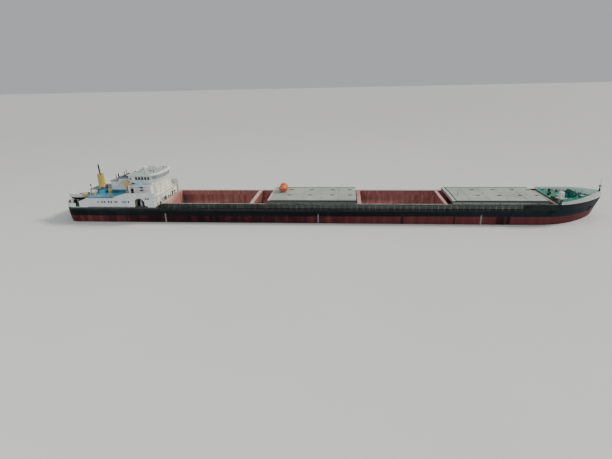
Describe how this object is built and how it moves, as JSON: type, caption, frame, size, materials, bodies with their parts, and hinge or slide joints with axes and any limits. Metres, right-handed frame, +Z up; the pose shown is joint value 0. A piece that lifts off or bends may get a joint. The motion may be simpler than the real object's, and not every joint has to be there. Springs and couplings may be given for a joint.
{
  "type": "self-propelled river cargo barge, 1:10 scale model",
  "caption": "Long low river cargo barge with open holds, rolling hatch covers, a white after house, yellow funnel and raised bow.",
  "frame": {"origin": "centre of the bounding box's bottom: on the flat bottom, on the centreline, midway along", "axes": "+X to the bow, +Y to port, +Z up"},
  "size_m": [13.88, 1.67, 1.5681],
  "materials": {
    "hull_paint": "matt marine paint, worn",
    "strake_paint": "matt paint, scuffed",
    "foredeck_green": "satin deck paint",
    "white_paint": "satin paint, rust streaks",
    "door_brown": "dark brown paint",
    "coaming_red": "matt paint, faded",
    "cover_grey": "satin paint, dusty",
    "deck_blue": "satin deck paint",
    "rail_paint": "satin paint",
    "yellow_paint": "satin paint",
    "black_paint": "matt paint",
    "boat_orange": "gloss paint",
    "windlass_teal": "satin paint",
    "steel": "bare and galvanised steel",
    "bronze": "cast bronze",
    "glass": "dark window glass"
  },
  "bodies": {
    "root": {"hull": "hull_paint", "quarterdeck": "hull_paint", "side_bulwark_starboard": "hull_paint", "side_bulwark_port": "hull_paint", "rubbing_strake_starboard": "strake_paint", "rubbing_strake_port": "strake_paint", "forecastle": "foredeck_green", "tender": "white_paint", "companionway": "white_paint", "stern_bulwark": "white_paint", "bow_bulwark": "white_paint", "lower_house": "white_paint", "upper_house": "white_paint", "bridge_deck": "white_paint", "wheelhouse": "white_paint", "wheelhouse_roof": "white_paint", "engine_casing": "white_paint", "boat_deck_bulwark_starboard": "white_paint", "boat_deck_bulwark_port": "white_paint", "hold_coaming": "coaming_red", "boat_deck": "deck_blue", "casing_base": "deck_blue", "deck_rail_starboard": "rail_paint", "deck_rail_port": "rail_paint", "boat_deck_rail_starboard": "rail_paint", "boat_deck_rail_port": "rail_paint", "bridge_rail_starboard": "rail_paint", "bridge_rail_port": "rail_paint", "funnel": "yellow_paint", "cowl_large_starboard": "yellow_paint", "cowl_large_port": "yellow_paint", "cowl_small_starboard": "yellow_paint", "cowl_small_port": "yellow_paint", "exhaust_pipe": "black_paint", "stern_winch": "black_paint", "tender_chocks": "black_paint", "fore_mast_foot": "black_paint", "anchor_starboard": "black_paint", "anchor_port": "black_paint", "windlass": "windlass_teal", "aft_shelter": "steel", "wheelhouse_glass": "glass"},
    "cover_aft_lower": {"cover_aft_lower": "cover_grey"},
    "cover_aft_upper": {"cover_aft_upper": "cover_grey", "boat_cradle": "steel", "work_boat": "boat_orange"},
    "cover_fore_lower": {"cover_fore_lower": "cover_grey"},
    "cover_fore_upper": {"cover_fore_upper": "cover_grey"},
    "crane": {"crane": "yellow_paint"},
    "radar_scanner": {"radar_scanner": "white_paint"},
    "main_mast": {"main_mast": "white_paint"},
    "fore_mast": {"fore_mast": "white_paint"},
    "propeller_starboard": {"propeller_starboard": "bronze"},
    "propeller_port": {"propeller_port": "bronze"},
    "rudder_starboard": {"rudder_starboard": "hull_paint"},
    "rudder_port": {"rudder_port": "hull_paint"},
    "house_door_starboard": {"house_door_starboard": "door_brown"},
    "house_door_port": {"house_door_port": "door_brown"},
    "wheelhouse_door_starboard": {"wheelhouse_door_starboard": "white_paint"},
    "wheelhouse_door_port": {"wheelhouse_door_port": "white_paint"}
  },
  "joints": [
    {"name": "cover_aft_lower_roll", "type": "slide", "parent": "root", "child": "cover_aft_lower", "axis": [1, 0, 0], "range_m": [-2.75, 0]},
    {"name": "cover_aft_upper_roll", "type": "slide", "parent": "root", "child": "cover_aft_upper", "axis": [1, 0, 0], "range_m": [-2.75, 0]},
    {"name": "cover_fore_lower_roll", "type": "slide", "parent": "root", "child": "cover_fore_lower", "axis": [1, 0, 0], "range_m": [-2.25, 0.15]},
    {"name": "cover_fore_upper_roll", "type": "slide", "parent": "root", "child": "cover_fore_upper", "axis": [1, 0, 0], "range_m": [-2.25, 0.15]},
    {"name": "propeller_starboard_spin", "type": "hinge", "parent": "root", "child": "propeller_starboard", "pos_m": [-6.4, -0.4, 0.108], "axis": [1, 0, 0], "continuous": true},
    {"name": "propeller_port_spin", "type": "hinge", "parent": "root", "child": "propeller_port", "pos_m": [-6.4, 0.4, 0.108], "axis": [1, 0, 0], "continuous": true},
    {"name": "rudder_starboard_turn", "type": "hinge", "parent": "root", "child": "rudder_starboard", "pos_m": [-6.56, -0.4, 0.1], "axis": [0, 0, 1], "range_deg": [-35, 35]},
    {"name": "rudder_port_turn", "type": "hinge", "parent": "root", "child": "rudder_port", "pos_m": [-6.56, 0.4, 0.1], "axis": [0, 0, 1], "range_deg": [-35, 35]},
    {"name": "house_door_starboard_swing", "type": "hinge", "parent": "root", "child": "house_door_starboard", "pos_m": [-4.962, -0.653, 0.9573], "axis": [0, 0, 1], "range_deg": [0, 100]},
    {"name": "house_door_port_swing", "type": "hinge", "parent": "root", "child": "house_door_port", "pos_m": [-4.962, 0.653, 0.9573], "axis": [0, 0, -1], "range_deg": [0, 100]},
    {"name": "wheelhouse_door_starboard_swing", "type": "hinge", "parent": "root", "child": "wheelhouse_door_starboard", "pos_m": [-5.018, -0.543, 1.2323], "axis": [0, 0, 1], "range_deg": [0, 100]},
    {"name": "wheelhouse_door_port_swing", "type": "hinge", "parent": "root", "child": "wheelhouse_door_port", "pos_m": [-5.018, 0.543, 1.2323], "axis": [0, 0, -1], "range_deg": [0, 100]},
    {"name": "crane_slew", "type": "hinge", "parent": "root", "child": "crane", "pos_m": [-5.185, -0.56, 0.9976], "axis": [0, 0, 1], "range_deg": [-20, 100]},
    {"name": "radar_spin", "type": "hinge", "parent": "root", "child": "radar_scanner", "pos_m": [-4.9, -0.2, 1.4396], "axis": [0, 0, 1], "continuous": true},
    {"name": "main_mast_fold", "type": "hinge", "parent": "root", "child": "main_mast", "pos_m": [-4.666, 0, 1.4106], "axis": [0, -1, 0], "range_deg": [0, 90]},
    {"name": "fore_mast_fold", "type": "hinge", "parent": "root", "child": "fore_mast", "pos_m": [6.876, 0, 0.9], "axis": [0, -1, 0], "range_deg": [0, 90]}
  ],
  "couplings": [
    {"joint": "rudder_port_turn", "follows": "rudder_starboard_turn", "ratio": 1}
  ]
}
